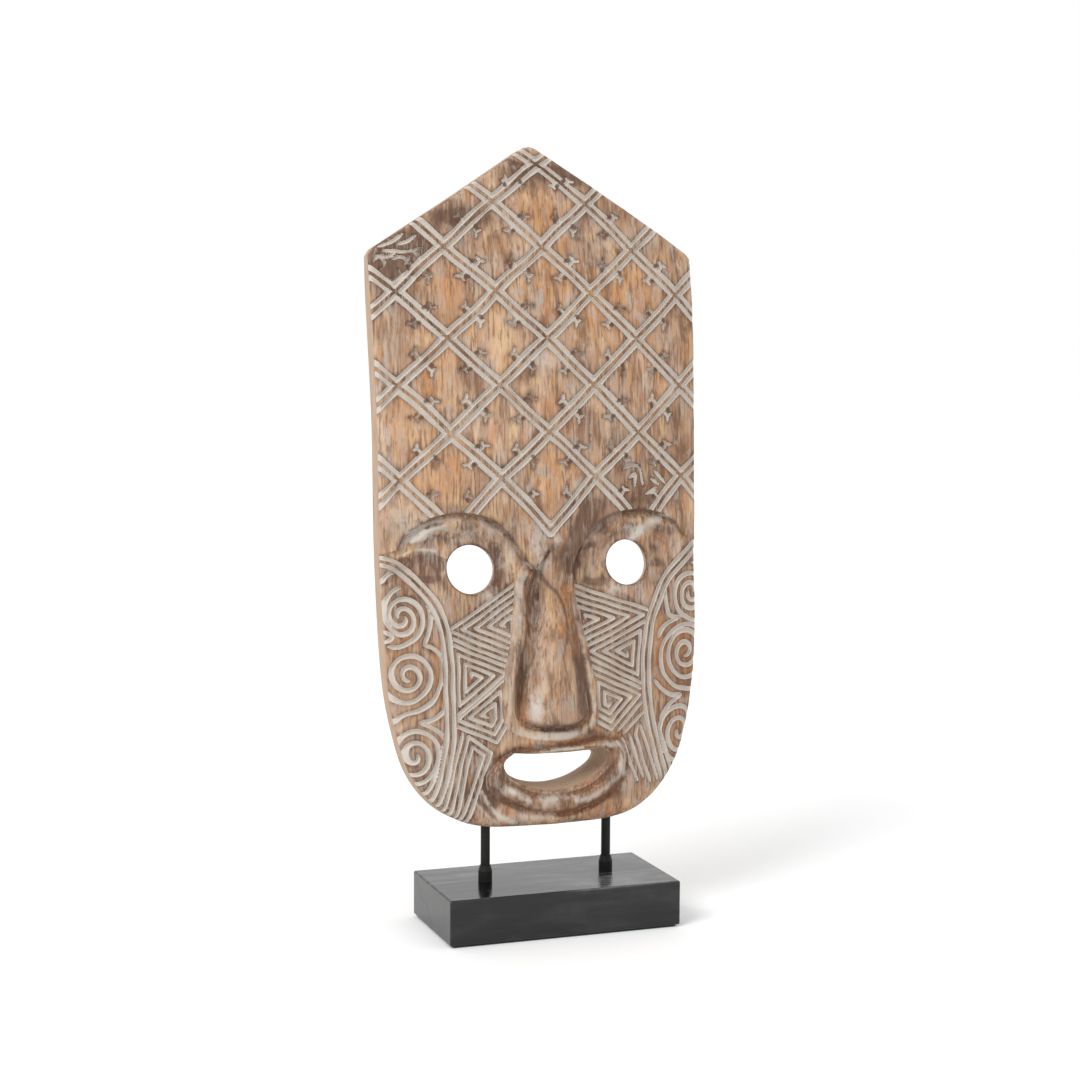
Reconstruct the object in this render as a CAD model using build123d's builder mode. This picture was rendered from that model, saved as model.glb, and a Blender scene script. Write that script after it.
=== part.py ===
from build123d import *
from math import cos, radians, sin
import os

# A carved wooden mask on a two-pin stand.
# Millimetres. The origin is the centre of the base's underside, +X is the wearer's left (the viewer's
# right), -Y is the way the face looks, +Z is up.

# Stand
BASE_WIDTH = 180.0
BASE_DEPTH = 94.0
FELT_THICK = 1.5
BASE_TOP = 35.0
BASE_EASE = 1.5
PIN_X = 48.2
PIN_DIA = 7.0
PIN_CHAMFER = 0.8
THREAD_DIA = 6.0
THREAD_END = 3.5
HOLE_DIA = 6.1
COLLAR_DIA = 10.4
COLLAR_TOP_DIA = 8.4
COLLAR_BORE = 7.1
COLLAR_HEIGHT = 12.0
COLLAR_TAPER = 4.0
COUNTERBORE_DIA = 16.0
COUNTERBORE_DEPTH = 10.0
WASHER_DIA = 12.0
WASHER_BORE = 6.4
WASHER_THICK = 1.6
NUT_ACROSS_FLATS = 10.0
NUT_THICK = 5.0
NUT_BORE = 6.05

# Mask: it leans back, with its flat back face BACK_OFFSET behind the pins at the height HINGE_Z
LEAN = 4.78
BACK_OFFSET = 13.9
HINGE_Z = 98.4
EDGE_THICK = 19.5
CROWN = 18.5
HALF_WIDTH = 128.0
TOP_FALL_START = 288.0
TOP_FALL_RATE = 4.6e-4
BOTTOM_V = -22.5
APEX = (-3.5, 483.0)
APEX_RADIUS = 12.0
SHOULDER_RADIUS = 5.0

# Carved features, in the mask's own plane: u to the right, v up the board
EYES = [(-60.2, 168.5, 18.0), (63.3, 170.3, 17.0)]
EYE_FLARE = 11.0
EYE_FLARE_DEPTH = 19.5
SOCKET_DEPTH = 5.0
NOSE_RISE = 11.0
LIP_RISE = 3.5
BORE_DIA = 7.1
BORE_TOP = 108.0
BLOCK_FLOOR = 10.0


def mask_plane():
    """The flat back of the mask: local x is u, local y is v, and the normal is the way the face looks."""
    lean = radians(LEAN)
    return Plane(origin=(0, BACK_OFFSET, HINGE_Z), x_dir=(1, 0, 0), z_dir=(0, -cos(lean), sin(lean)))


def section_plane(v):
    """A plane across the board at v: local x is u, local y is the height above the back."""
    board = mask_plane()
    return Plane(origin=board.from_local_coords((0, v, 0)), x_dir=(1, 0, 0), z_dir=-board.y_dir)


def top_fall(v):
    """How much thinner the board is towards its top."""
    return TOP_FALL_RATE * max(0.0, v - TOP_FALL_START) ** 2


BOARD = mask_plane()
SECTIONS = [BOTTOM_V - 10, 130, TOP_FALL_START, 340, 390, 440, 490]


def crowned_block(rise):
    """The space behind the crowned front face, raised by rise, wider and longer than the mask."""
    half = HALF_WIDTH + 4
    with BuildPart() as block:
        for v in SECTIONS:
            edge = EDGE_THICK + rise - top_fall(v)
            with BuildSketch(section_plane(v)):
                with BuildLine():
                    Polyline((-half, edge), (-half, -BLOCK_FLOOR), (half, -BLOCK_FLOOR), (half, edge))
                    ThreePointArc((half, edge), (0, edge + CROWN), (-half, edge))
                make_face()
        loft()
    return block.part


# The outline: straight gable, nearly straight sides and a round chin, a little uneven as carved by hand
RIGHT_SIDE = [(127.8, 401.5), (128.0, 366), (125.8, 280), (123.8, 180), (121.0, 95), (113.6, 48),
              (100.0, 15), (77.0, -9.5), (48.0, -20.5), (-3.0, BOTTOM_V)]
LEFT_SIDE = [(-3.0, BOTTOM_V), (-54.0, -20.8), (-83.0, -9.5), (-104.5, 15), (-115.8, 48), (-123.0, 95),
             (-125.8, 180), (-125.3, 280), (-127.5, 366), (-127.8, 399.5)]

with BuildSketch(BOARD) as outline:
    with BuildLine():
        Spline(RIGHT_SIDE)
        Spline(LEFT_SIDE)
        Polyline(LEFT_SIDE[-1], APEX, RIGHT_SIDE[0])
    make_face()
    fillet(outline.vertices().sort_by(Axis.Y)[-1], APEX_RADIUS)
    fillet(outline.vertices().group_by(Axis.X)[0], SHOULDER_RADIUS)
    fillet(outline.vertices().group_by(Axis.X)[-1], SHOULDER_RADIUS)

with BuildPart() as mask_blank:
    with BuildSketch(BOARD):
        add(outline.sketch_local)
    extrude(amount=60)
    add(crowned_block(0), mode=Mode.INTERSECT)

# Eye sockets: shallow hollows under the brows, bounded below by the cheek and at the side by the temple
BROW_INNER = (16.0, 166.0)
BROW_TOP = (70.0, 209.0)
BROW_OUTER = (113.0, 187.0)
TEMPLE_MID = (97.0, 159.0)
CHEEK_OUTER = (82.0, 133.0)
CHEEK_INNER = (19.0, 153.0)

with BuildPart() as sockets:
    with BuildSketch(BOARD):
        with BuildLine():
            ThreePointArc(BROW_INNER, BROW_TOP, BROW_OUTER)
            ThreePointArc(BROW_OUTER, TEMPLE_MID, CHEEK_OUTER)
            Polyline(CHEEK_OUTER, CHEEK_INNER, BROW_INNER)
        make_face()
        mirror(about=Plane.YZ)
    extrude(amount=60)
    add(crowned_block(-SOCKET_DEPTH), mode=Mode.SUBTRACT)

# The well round the nose, and the nose that stands in it
WELL_DEPTH = 3.0
WELL_TOP_HALF = 15.0
WELL_TOP_V = 160.0
WELL_SIDE = [(WELL_TOP_HALF, WELL_TOP_V), (22.0, 115.0), (29.0, 80.0), (27.0, 57.0), (0.0, 46.5)]

with BuildPart() as nose_well:
    with BuildSketch(BOARD):
        with BuildLine():
            Spline(WELL_SIDE)
            Line(WELL_SIDE[0], (0, WELL_TOP_V))
            Line((0, WELL_TOP_V), WELL_SIDE[-1])
        make_face()
        mirror(about=Plane.YZ)
    extrude(amount=60)
    add(crowned_block(-WELL_DEPTH), mode=Mode.SUBTRACT)

NOSE_ROOT = 20.0
NOSE_SECTIONS = [(51.0, 24.0, 14.0, 1.0), (75.0, 24.5, 14.0, 1.0), (110.0, 18.0, 9.0, 0.75),
                 (150.0, 10.0, 6.0, 0.35), (178.0, 6.0, 4.0, 0.0)]

with BuildPart() as nose:
    for v, foot_half, ridge_half, share in NOSE_SECTIONS:
        top = EDGE_THICK + CROWN + share * NOSE_RISE
        with BuildSketch(section_plane(v)):
            with BuildLine():
                Polyline((-foot_half, top - 10), (-foot_half, NOSE_ROOT), (foot_half, NOSE_ROOT),
                         (foot_half, top - 10))
                Spline((foot_half, top - 10), (ridge_half, top - 1.5), (0, top), (-ridge_half, top - 1.5),
                       (-foot_half, top - 10))
            make_face()
    loft()

# Lips: a raised ring round the mouth. The mouth and the eyes are cut right through; the eye holes widen
# towards the back, so that the wood is thin round the eyes.
LIP_CENTRE = (1.0, 14.5)
LIP_HALF_WIDTH = 56.0
LIP_HALF_HEIGHT = 26.5
MOUTH_TOP = [(-32.0, 32.5), (0.0, 31.0), (38.0, 31.8)]
MOUTH_BOTTOM = [(38.0, 31.8), (44.0, 26.5), (39.0, 17.0), (22.0, 7.5), (2.0, 3.5), (-18.0, 6.0),
                (-35.0, 15.0), (-40.0, 25.0), (-32.0, 32.5)]

with BuildPart() as lips:
    with BuildSketch(BOARD):
        with Locations(LIP_CENTRE):
            Ellipse(LIP_HALF_WIDTH, LIP_HALF_HEIGHT)
        add(outline.sketch_local, mode=Mode.INTERSECT)
    extrude(amount=60)
    add(crowned_block(LIP_RISE), mode=Mode.INTERSECT)

with BuildPart() as mask_carving:
    add(mask_blank.part)
    add(sockets.part, mode=Mode.SUBTRACT)
    add(nose_well.part, mode=Mode.SUBTRACT)
    add(nose.part)
    add(lips.part)
    with BuildSketch(BOARD):
        for u, v, radius in EYES:
            with Locations((u, v)):
                Circle(radius)
        with BuildLine():
            ThreePointArc(*MOUTH_TOP)
            Spline(MOUTH_BOTTOM)
        make_face()
    extrude(amount=60, both=True, mode=Mode.SUBTRACT)
    with Locations(BOARD):
        for u, v, radius in EYES:
            with Locations((u, v, 0)):
                Cone(radius + EYE_FLARE, radius, EYE_FLARE_DEPTH,
                     align=(Align.CENTER, Align.CENTER, Align.MIN), mode=Mode.SUBTRACT)
    with BuildSketch(Plane.XY):
        with Locations((-PIN_X, 0), (PIN_X, 0)):
            Circle(BORE_DIA / 2)
    extrude(amount=BORE_TOP, mode=Mode.SUBTRACT)

# The blank is two boards, edge-glued on the centre line
with BuildPart() as mask_board_left:
    add(mask_carving.part)
    split(bisect_by=Plane.YZ, keep=Keep.BOTTOM)
mask_board_left.part.label = "mask_board_left"

with BuildPart() as mask_board_right:
    add(mask_carving.part)
    split(bisect_by=Plane.YZ, keep=Keep.TOP)
mask_board_right.part.label = "mask_board_right"

# Base: a solid block with eased edges, two pin holes, and counterbores underneath for the nuts
with BuildPart() as base_block:
    with Locations((0, 0, FELT_THICK)):
        Box(BASE_WIDTH, BASE_DEPTH, BASE_TOP - FELT_THICK, align=(Align.CENTER, Align.CENTER, Align.MIN))
    fillet(base_block.edges(), BASE_EASE)
    with Locations(Plane(origin=(0, 0, FELT_THICK), z_dir=(0, 0, -1))):
        with GridLocations(2 * PIN_X, 1, 2, 1):
            CounterBoreHole(HOLE_DIA / 2, COUNTERBORE_DIA / 2, COUNTERBORE_DEPTH)
base_block.part.label = "base_block"

# Felt under the base, cut a little smaller than it
FELT_INSET = 2.0
FELT_CORNER = 4.0
with BuildPart() as felt_lining:
    with BuildSketch():
        RectangleRounded(BASE_WIDTH - 2 * FELT_INSET, BASE_DEPTH - 2 * FELT_INSET, FELT_CORNER)
    extrude(amount=FELT_THICK)
felt_lining.part.label = "felt_lining"


def pin(x):
    """A round rod whose lower end is turned down to the thread, with a shoulder on the base."""
    with BuildPart() as rod:
        with Locations((x, 0, BASE_TOP)):
            Cylinder(PIN_DIA / 2, BORE_TOP - BASE_TOP, align=(Align.CENTER, Align.CENTER, Align.MIN))
        chamfer(rod.edges().group_by(Axis.Z)[-1], PIN_CHAMFER)
        with Locations((x, 0, THREAD_END)):
            Cylinder(THREAD_DIA / 2, BASE_TOP - THREAD_END, align=(Align.CENTER, Align.CENTER, Align.MIN))
    return rod.part


def collar(x):
    """A ferrule that slides down the pin onto the base, tapered towards its top."""
    with BuildPart() as ring:
        with BuildSketch(Plane(origin=(x, 0, BASE_TOP), x_dir=(1, 0, 0), z_dir=(0, -1, 0))):
            with BuildLine():
                Polyline((COLLAR_BORE / 2, 0), (COLLAR_DIA / 2, 0),
                         (COLLAR_DIA / 2, COLLAR_HEIGHT - COLLAR_TAPER),
                         (COLLAR_TOP_DIA / 2, COLLAR_HEIGHT), (COLLAR_BORE / 2, COLLAR_HEIGHT), close=True)
            make_face()
        revolve(axis=Axis((x, 0, 0), (0, 0, 1)))
    return ring.part


WASHER_TOP = FELT_THICK + COUNTERBORE_DEPTH
NUT_TOP = WASHER_TOP - WASHER_THICK


def washer(x):
    """A plain washer against the counterbore's ceiling."""
    with BuildPart() as plate:
        with BuildSketch(Plane.XY.offset(WASHER_TOP)):
            with Locations((x, 0)):
                Circle(WASHER_DIA / 2)
                Circle(WASHER_BORE / 2, mode=Mode.SUBTRACT)
        extrude(amount=-WASHER_THICK)
    return plate.part


def nut(x):
    """A hexagon nut, its corners eased by a cone at both faces."""
    corner = NUT_ACROSS_FLATS / 3 ** 0.5
    with BuildPart() as hexagon:
        with BuildSketch(Plane.XY.offset(NUT_TOP)):
            with Locations((x, 0)):
                RegularPolygon(NUT_ACROSS_FLATS / 2, 6, major_radius=False)
        extrude(amount=-NUT_THICK)
        with BuildSketch(Plane(origin=(x, 0, NUT_TOP), x_dir=(1, 0, 0), z_dir=(0, -1, 0))):
            with BuildLine():
                Polyline((0, 0), (corner - 0.5, 0), (corner, -0.4), (corner, 0.4 - NUT_THICK),
                         (corner - 0.5, -NUT_THICK), (0, -NUT_THICK), close=True)
            make_face()
        revolve(axis=Axis((x, 0, 0), (0, 0, 1)), mode=Mode.INTERSECT)
        with BuildSketch(Plane.XY.offset(NUT_TOP)):
            with Locations((x, 0)):
                Circle(NUT_BORE / 2)
        extrude(amount=-NUT_THICK, mode=Mode.SUBTRACT)
    return hexagon.part


os.makedirs("parts", exist_ok=True)
export_step(mask_board_left.part, "parts/mask_board_left.step")
export_step(mask_board_right.part, "parts/mask_board_right.step")
export_step(base_block.part, "parts/base_block.step")
export_step(felt_lining.part, "parts/felt_lining.step")
for side, x in (("left", -PIN_X), ("right", PIN_X)):
    for name, make in (("pin", pin), ("collar", collar), ("washer", washer), ("nut", nut)):
        piece = make(x)
        piece.label = f"{name}_{side}"
        export_step(piece, f"parts/{name}_{side}.step")
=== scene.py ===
"""A carved wooden mask on a black two-pin stand: looks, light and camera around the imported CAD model."""
import math

import bpy
import numpy as np
from mathutils import Matrix, Vector
from mathutils.geometry import delaunay_2d_cdt


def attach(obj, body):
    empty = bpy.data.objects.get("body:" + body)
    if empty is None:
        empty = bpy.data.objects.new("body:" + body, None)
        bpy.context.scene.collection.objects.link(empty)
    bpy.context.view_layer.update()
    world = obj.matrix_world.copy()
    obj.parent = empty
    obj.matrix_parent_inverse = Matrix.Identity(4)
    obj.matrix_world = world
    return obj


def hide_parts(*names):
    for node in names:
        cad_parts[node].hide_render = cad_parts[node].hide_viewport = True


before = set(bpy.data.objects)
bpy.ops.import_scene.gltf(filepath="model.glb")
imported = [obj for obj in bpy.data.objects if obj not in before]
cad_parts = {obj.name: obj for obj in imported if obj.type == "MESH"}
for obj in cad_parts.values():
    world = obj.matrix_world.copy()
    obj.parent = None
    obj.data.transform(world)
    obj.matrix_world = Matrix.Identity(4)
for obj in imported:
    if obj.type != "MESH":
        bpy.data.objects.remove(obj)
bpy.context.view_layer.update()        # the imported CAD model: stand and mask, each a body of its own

# ---------------------------------------------------------------- the mask's own plane
# u runs across the face to the viewer's right, v up the face and w out of it, in millimetres.
# The back is w = 0, and the whole plane leans back.
MM = 0.001
LEAN = math.radians(4.78)
PLANE_Y = 13.9           # the back face at v = 0
PLANE_Z = 98.4
EDGE_THICK = 19.5        # thickness at the two long edges
CROWN = 18.5             # how much thicker the middle is
CROWN_HALF_WIDTH = 132
TOP_FALL_START = 288     # above this the forehead curves back
TOP_FALL_RATE = 4.6e-4


def smoothstep(low, high, x):
    t = np.clip((x - low) / (high - low), 0, 1)
    return t * t * (3 - 2 * t)


def bell(x, width):
    """1 at x = 0, falling to nothing on both sides."""
    return np.exp(-((x / width) ** 2))


def spot(u, v, at_u, at_v, wide, high):
    """1 at that place, falling to nothing round it."""
    return bell(u - at_u, wide) * bell(v - at_v, high)


def smooth(points, step=1.2, closed=False):
    """A Catmull-Rom curve through the points, as a polyline with that step."""
    p = np.array(points, float)
    if closed:
        p = np.vstack([p[-1], p, p[0], p[1]])
    else:
        p = np.vstack([2 * p[0] - p[1], p, 2 * p[-1] - p[-2]])
    line = []
    for a, b, c, d in zip(p, p[1:], p[2:], p[3:]):
        count = max(2, round(np.linalg.norm(c - b) / step))
        t = (np.arange(count) / count)[:, None]
        line.append(0.5 * (2 * b + (c - a) * t + (2 * a - 5 * b + 4 * c - d) * t**2
                           + (3 * b - a - 3 * c + d) * t**3))
    if not closed:
        line.append(p[-2][None])
    return np.vstack(line)


def closed(line):
    return np.vstack([line, line[:1]])


def offset(line, gap):
    """The line moved sideways by gap, to the left of its direction."""
    along = np.gradient(line, axis=0)
    along /= np.linalg.norm(along, axis=1)[:, None]
    return line + gap * np.stack([-along[:, 1], along[:, 0]], 1)


def nearest(line, u, v, reach):
    """The distance from each point to a polyline, at most reach, and how far along it that place is."""
    best = np.full(u.shape, float(reach))
    place = np.zeros(u.shape)
    steps = np.linalg.norm(np.diff(line, axis=0), axis=1)
    travelled = np.concatenate([[0], np.cumsum(steps)])
    chunk = 12
    for i in range(0, len(line) - 1, chunk):
        part = line[i:i + chunk + 1]
        low = part.min(0) - reach
        high = part.max(0) + reach
        near = np.flatnonzero((u > low[0]) & (u < high[0]) & (v > low[1]) & (v < high[1]))
        if not near.size:
            continue
        p = np.stack([u[near], v[near]], 1)[:, None]
        run = np.diff(part, axis=0)[None]
        rel = p - part[None, :-1]
        t = np.clip((rel * run).sum(2) / (run**2).sum(2), 0, 1)
        gap = np.linalg.norm(rel - t[..., None] * run, axis=2)
        k = gap.argmin(1)
        rows = np.arange(len(near))
        closer = gap[rows, k] < best[near]
        chosen = near[closer]
        best[chosen] = gap[rows, k][closer]
        at = i + k[closer]
        place[chosen] = travelled[at] + t[rows, k][closer] * steps[at]
    return best, place


def inside(polygon, u, v):
    """Which points lie inside a closed polygon."""
    within = np.zeros(u.shape, bool)
    ends = np.roll(polygon, -1, axis=0)
    for (u0, v0), (u1, v1) in zip(polygon, ends):
        if v0 == v1:
            continue
        crosses = (v0 > v) != (v1 > v)
        within ^= crosses & (u < u0 + (v - v0) * (u1 - u0) / (v1 - v0))
    return within


def ripple(u, v, size, seed):
    """A smooth, repeatable unevenness between about -1 and 1, whose bumps are about size mm across."""
    total = np.zeros(np.shape(u))
    turn = 0.7 + seed
    for k in range(5):
        turn += 2.4
        rate = 2 * math.pi / (size * (1.1 + 0.35 * k))
        total = total + np.sin(rate * (u * math.cos(turn) + v * math.sin(turn)) + seed * (k + 1.3))
    return total / 2.6


# ---------------------------------------------------------------- outline and openings
RIGHT_SIDE = [(127.8, 401.5), (128, 366), (125.8, 280), (123.8, 180), (121, 95), (113.6, 48),
              (100, 15), (77, -9.5), (48, -20.5), (-3, -22.5)]
LEFT_SIDE = [(-3, -22.5), (-54, -20.8), (-83, -9.5), (-104.5, 15), (-115.8, 48), (-123, 95),
             (-125.8, 180), (-125.3, 280), (-127.5, 366), (-127.8, 399.5)]
GABLE = [(-127.8, 399.5), (-124.5, 404.5), (-60, 446), (-12, 478.2), (-7.5, 480.8), (-3.5, 481.5),
         (0.5, 480.6), (5, 477.6), (60, 443.6), (124, 405.5), (127.8, 401.5)]
EYES = [(-60.2, 168.5, 18.0), (63.3, 170.3, 17.0)]
MOUTH_TOP = [(-32, 32.5), (0, 31), (38, 31.8)]
MOUTH_BOTTOM = [(38, 31.8), (44, 26.5), (39, 17), (22, 7.5), (2, 3.5), (-18, 6), (-35, 15), (-40, 25),
                (-32, 32.5)]


def outline():
    """The mask's outline, anticlockwise from the bottom."""
    right = smooth(RIGHT_SIDE)[::-1]
    left = smooth(LEFT_SIDE)[::-1]
    gable = np.array(GABLE)[::-1]
    return np.vstack([right[:-1], gable[:-1], left[:-1]])


def mouth():
    """The mouth's opening."""
    return np.vstack([smooth(MOUTH_TOP, 0.8)[:-1], smooth(MOUTH_BOTTOM, 0.8)[:-1]])


def eye(side):
    """The left (0) or right (1) eye's round opening."""
    turn = np.linspace(0, 2 * math.pi, 150, endpoint=False)
    centre_u, centre_v, radius = EYES[side]
    return np.stack([centre_u + radius * np.cos(turn), centre_v + radius * np.sin(turn)], 1)


# ---------------------------------------------------------------- carved lines
GROOVES = []             # (line, half width, depth, zone): washed grooves, cut with a gouge
SHADOW_SCORES = []              # (line, half width, depth): shallow cuts painted dark, a painted shadow beside each barb


def groove(points, half_width=1.75, depth=2.0, zone="free"):
    GROOVES.append((np.array(points, float), half_width, depth, zone))


def shadow_score(points, half_width=1.2, depth=0.8):
    SHADOW_SCORES.append((np.array(points, float), half_width, depth))


def double_line(points, gap=2.65, half_width=1.7):
    """A ridge between two grooves."""
    line = smooth(points)
    groove(offset(line, gap), half_width)
    groove(offset(line, -gap), half_width)


# The forehead lattice: ridges between two grooves, joining corners that stand in rows.
COLUMN = 37.1
ROWS = [495, 467, 440, 405.5, 372, 338, 303, 268.5, 235, 196]
RIDGE_HALF = 0.85
LATTICE_GROOVE = 2.85    # from the ridge to the middle of a groove
LATTICE_HALF = 1.75
LATTICE_DEPTH = 1.9
NEAR_REACH = 4.5         # how far round the grooves the wood is darker
WIDE_REACH = 1.9         # the same on the cheeks and side panels, as a multiple


def lattice_lines(direction):
    """The lattice's parallel lines that step one column in that direction with each row down."""
    lines = []
    for start in range(-15, 16, 2):
        corners = [((start + direction * r) * COLUMN, v) for r, v in enumerate(ROWS)]
        kept = [c for c in corners if abs(c[0]) < 5.1 * COLUMN]
        if len(kept) > 1:
            lines.append(np.array(kept))
    return lines


def lattice(u, v):
    """Groove strength over the lattice, and closeness to it, less where a ridge is worn.
    Where lines cross, both ridges stay."""
    strength = np.full(u.shape, -1.0)
    ridges = np.ones(u.shape)
    away = np.ones(u.shape)
    closest = np.full(u.shape, 9.0)
    for direction in (-1, 1):
        wavy_u = u + 0.7 * ripple(u, v, 30, direction)
        wavy_v = v + 0.7 * ripple(u, v, 34, 3 + direction)
        gap = np.full(u.shape, 9.0)
        for line in lattice_lines(direction):
            gap = np.minimum(gap, nearest(line, wavy_u, wavy_v, 9)[0])
        half = LATTICE_HALF * (1 + 0.2 * ripple(u, v, 20, 5 + direction))
        strength = np.maximum(strength, 1 - np.abs(gap - LATTICE_GROOVE) / half)
        ridges *= smoothstep(RIDGE_HALF - 0.35, RIDGE_HALF + 0.5, gap)
        away *= np.clip((gap - LATTICE_GROOVE - half) / NEAR_REACH, 0, 1)
        closest = np.minimum(closest, gap)
    worn = smoothstep(LATTICE_GROOVE, 1.0, closest) * (0.22 - 0.22 * ripple(u, v, 60, 7))
    return np.minimum(strength, 2 * ridges - 1), (1 - away) * (1 - np.clip(worn, 0, 0.5))


# Scratchy marks in the two cells at the upper left and the lower right, and two by the gable.
LOOSE_STROKES = [
    [(-118, 402), (-103, 401), (-90, 404)],
    [(-104, 414), (-112, 408), (-121, 405)],
    [(-125, 394), (-121, 398), (-117, 392), (-121, 388)],
    [(-119, 383), (-113, 380), (-106, 384), (-108, 389)],
    [(-112, 395), (-105, 397), (-98, 392)],
    [(-124, 407), (-118, 411), (-108, 420)],
    [(-97, 392), (-92, 396), (-97, 402)],
    [(-122, 399), (-115, 397), (-109, 400)],
    [(-108, 406), (-100, 409), (-94, 414)],
    [(-101, 385), (-95, 381), (-90, 384)],
    [(60, 240), (67, 243), (74, 240), (77, 228)],
    [(87, 239), (96, 230)],
    [(79, 221), (88, 226)],
    [(65, 233), (70, 236), (70, 227)],
    [(84, 233), (90, 229)],
    [(-22, 470), (-10, 466)],
    [(88, 395), (96, 391)],
]


def tick(at, towards, size=1.0):
    """A small forked barb that leaves a lattice groove and points into its cell."""
    at = np.array(at, float)
    way = np.array(towards, float)
    way /= np.linalg.norm(way)
    side = np.array([-way[1], way[0]])
    fork = at + 3.6 * size * way
    groove([at - 1.2 * way, fork], 1.7, 1.5, "barbs")
    groove([fork, fork + size * (3.6 * side + 0.6 * way)], 1.7, 1.3, "barbs")
    groove([fork, fork + size * (-2.8 * side + 2.4 * way)], 1.6, 1.3, "barbs")
    # a shallow cut on one side of the barb, painted dark as its shadow
    shadow_score([at + size * (3.8 * side - 0.2 * way), at + size * (3.4 * side + 1.0 * way)], 1.4, 0.5)


def ticks():
    """Four barbs in each cell of the lattice, a little uneven, and a few loose strokes."""
    for r in range(1, len(ROWS) - 1):
        for c in range(-3, 4):
            if (r + c) % 2 == 1:
                continue
            for k, (du, dv) in enumerate([(1, 1), (-1, 1), (-1, -1), (1, -1)]):
                shift = 1.5 * math.sin(2.3 * r + 1.7 * c + 2.9 * k)
                u = c * COLUMN + du * (14.4 + 0.5 * shift)
                v = ROWS[r] + dv * (13.4 - 0.5 * shift)
                if lies_on_forehead(u, v):
                    tick((u, v), (-du, -dv * 1.1), 0.95 + 0.14 * math.sin(5 * r + 3 * c + k))
    for line in LOOSE_STROKES:
        groove(smooth(line), 1.45, 1.5, "barbs")


def lies_on_forehead(u, v):
    under_gable = v < 476 - 0.62 * abs(u)
    over_brow = v > 211 or (abs(u) < 28 and v > 200)
    return under_gable and over_brow and abs(u) < 122


# Brows: a carved step. Below it the sockets lie deeper.
BROW_LEFT = [(-114, 184), (-110, 192), (-99, 200.5), (-86, 207), (-68, 209), (-50, 206), (-38, 198),
             (-28, 186.5), (-21, 175), (-15.5, 168)]
BROW_TIP = [(-15.5, 168), (-12.5, 167), (-8, 172), (-3, 179), (1, 184)]
BROW_RIGHT = [(16.5, 160), (18, 170), (23, 181), (31, 191.5), (42, 201.5), (56, 207.5), (75, 209),
              (90, 206.5), (103, 200), (112, 190)]
UNDER_LEFT_BROW = [(12, 184), (12, 60), (-140, 60), (-140, 178)]
UNDER_RIGHT_BROW = [(140, 178), (140, 60), (8, 60)]

# Panels at the two sides, inside a double arc: three linked spirals each.
ARC_LEFT = [(-128, 177), (-115, 172), (-101, 160), (-90, 145), (-83, 128), (-80, 108), (-79.3, 80),
            (-79.7, 50), (-83, 25), (-91, -3)]
ARC_RIGHT = [(126, 184), (115, 175), (100, 160), (89, 145), (81.5, 128), (77, 108), (75.5, 85), (77, 62),
             (80.5, 44), (85, 22), (90, 5)]


def turns(centre, reach):
    """A spiral round centre through (degrees, distance) pairs, with its bends evened out."""
    angles = np.radians([a for a, r in reach])
    distance = np.array([r for a, r in reach], float)
    fine = np.linspace(0, len(reach) - 1, 12 * len(reach))
    a = np.interp(fine, range(len(reach)), angles)
    r = np.interp(fine, range(len(reach)), distance)
    r = np.convolve(np.pad(r, 6, mode="edge"), np.ones(13) / 13, mode="valid")
    return np.stack([centre[0] + r * np.cos(a), centre[1] + r * np.sin(a)], 1)


LINKS_LEFT = [
    [(-126, 160), (-120, 167), (-112, 167), (-103, 158), (-95, 147), (-91.6, 136), (-93.5, 124),
     (-97.2, 114.4)],
    [(-97.2, 114.4), (-91, 112), (-85.3, 105.5), (-84.8, 95), (-86, 84), (-91, 73.5), (-101, 67), (-113, 64),
     (-121, 56)],
    [(-124, 117), (-119, 121), (-125, 125)],
    [(-101.5, 58.2), (-93.5, 59.5), (-88, 62.6), (-82, 68)],
    [(-101.5, 58.2), (-94.5, 55.3), (-88.3, 51.2), (-83, 44.5)],
    [(-84.5, 42), (-88, 33), (-90.5, 22), (-95, 10), (-99, 3)],
]
LINKS_RIGHT = [
    [(98, 155), (94.6, 146), (95.5, 135), (98.6, 129), (107.4, 127)],
    [(107.4, 127), (96, 123), (90.5, 118.5), (87, 113)],
    [(124, 118), (116, 121), (107, 120), (98, 115), (91, 107.5), (88.6, 97), (91, 85), (100, 76), (108, 73),
     (121, 71)],
    [(83, 80), (89, 73.8), (98, 68.8), (107, 68)],
    [(107, 68), (95.5, 61.3), (88, 51.3)],
    [(86, 44), (90, 32), (94, 18), (99, 9)],
]


def spirals():
    """The three spirals of the left panel. The top and low ones have two arms."""
    top = (-112, 135.5)
    middle = (-108.5, 92)
    low = (-106, 34.5)
    yield turns(top, [(-115, 24), (-78, 18.9), (0, 14.3), (90, 13.4), (180, 8.6), (270, 6.6), (360, 2.2)])
    yield turns(top, [(90, 22), (135, 16), (180, 11.3), (225, 11.5), (270, 13.4), (360, 8), (450, 6.2),
                      (540, 2)])
    yield turns(middle, [(-90, 3.2), (-180, 4), (-270, 7.2), (-360, 7.5), (-450, 10.4), (-540, 11.6),
                         (-630, 15.6), (-720, 15.4), (-780, 17.5), (-810, 19.4), (-850, 19.6), (-885, 18)])
    yield turns(low, [(0, 2), (-90, 6), (-180, 4.6), (-270, 9), (-360, 10.3), (-450, 15), (-500, 15)])
    yield turns(low, [(160, 10), (120, 15.5), (90, 17.6), (45, 18.2), (0, 17.6), (-45, 18.5), (-80, 21.5),
                      (-105, 26)])


def mirrored(line):
    """The right panel's copy of a left panel line: it stands a little higher and is spread a little."""
    u, v = line[:, 0], line[:, 1]
    return np.stack([-u - 1.6 + 0.08 * (v - 34.5), v + 6.5 + 0.045 * (v - 34.5)], 1)


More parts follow.
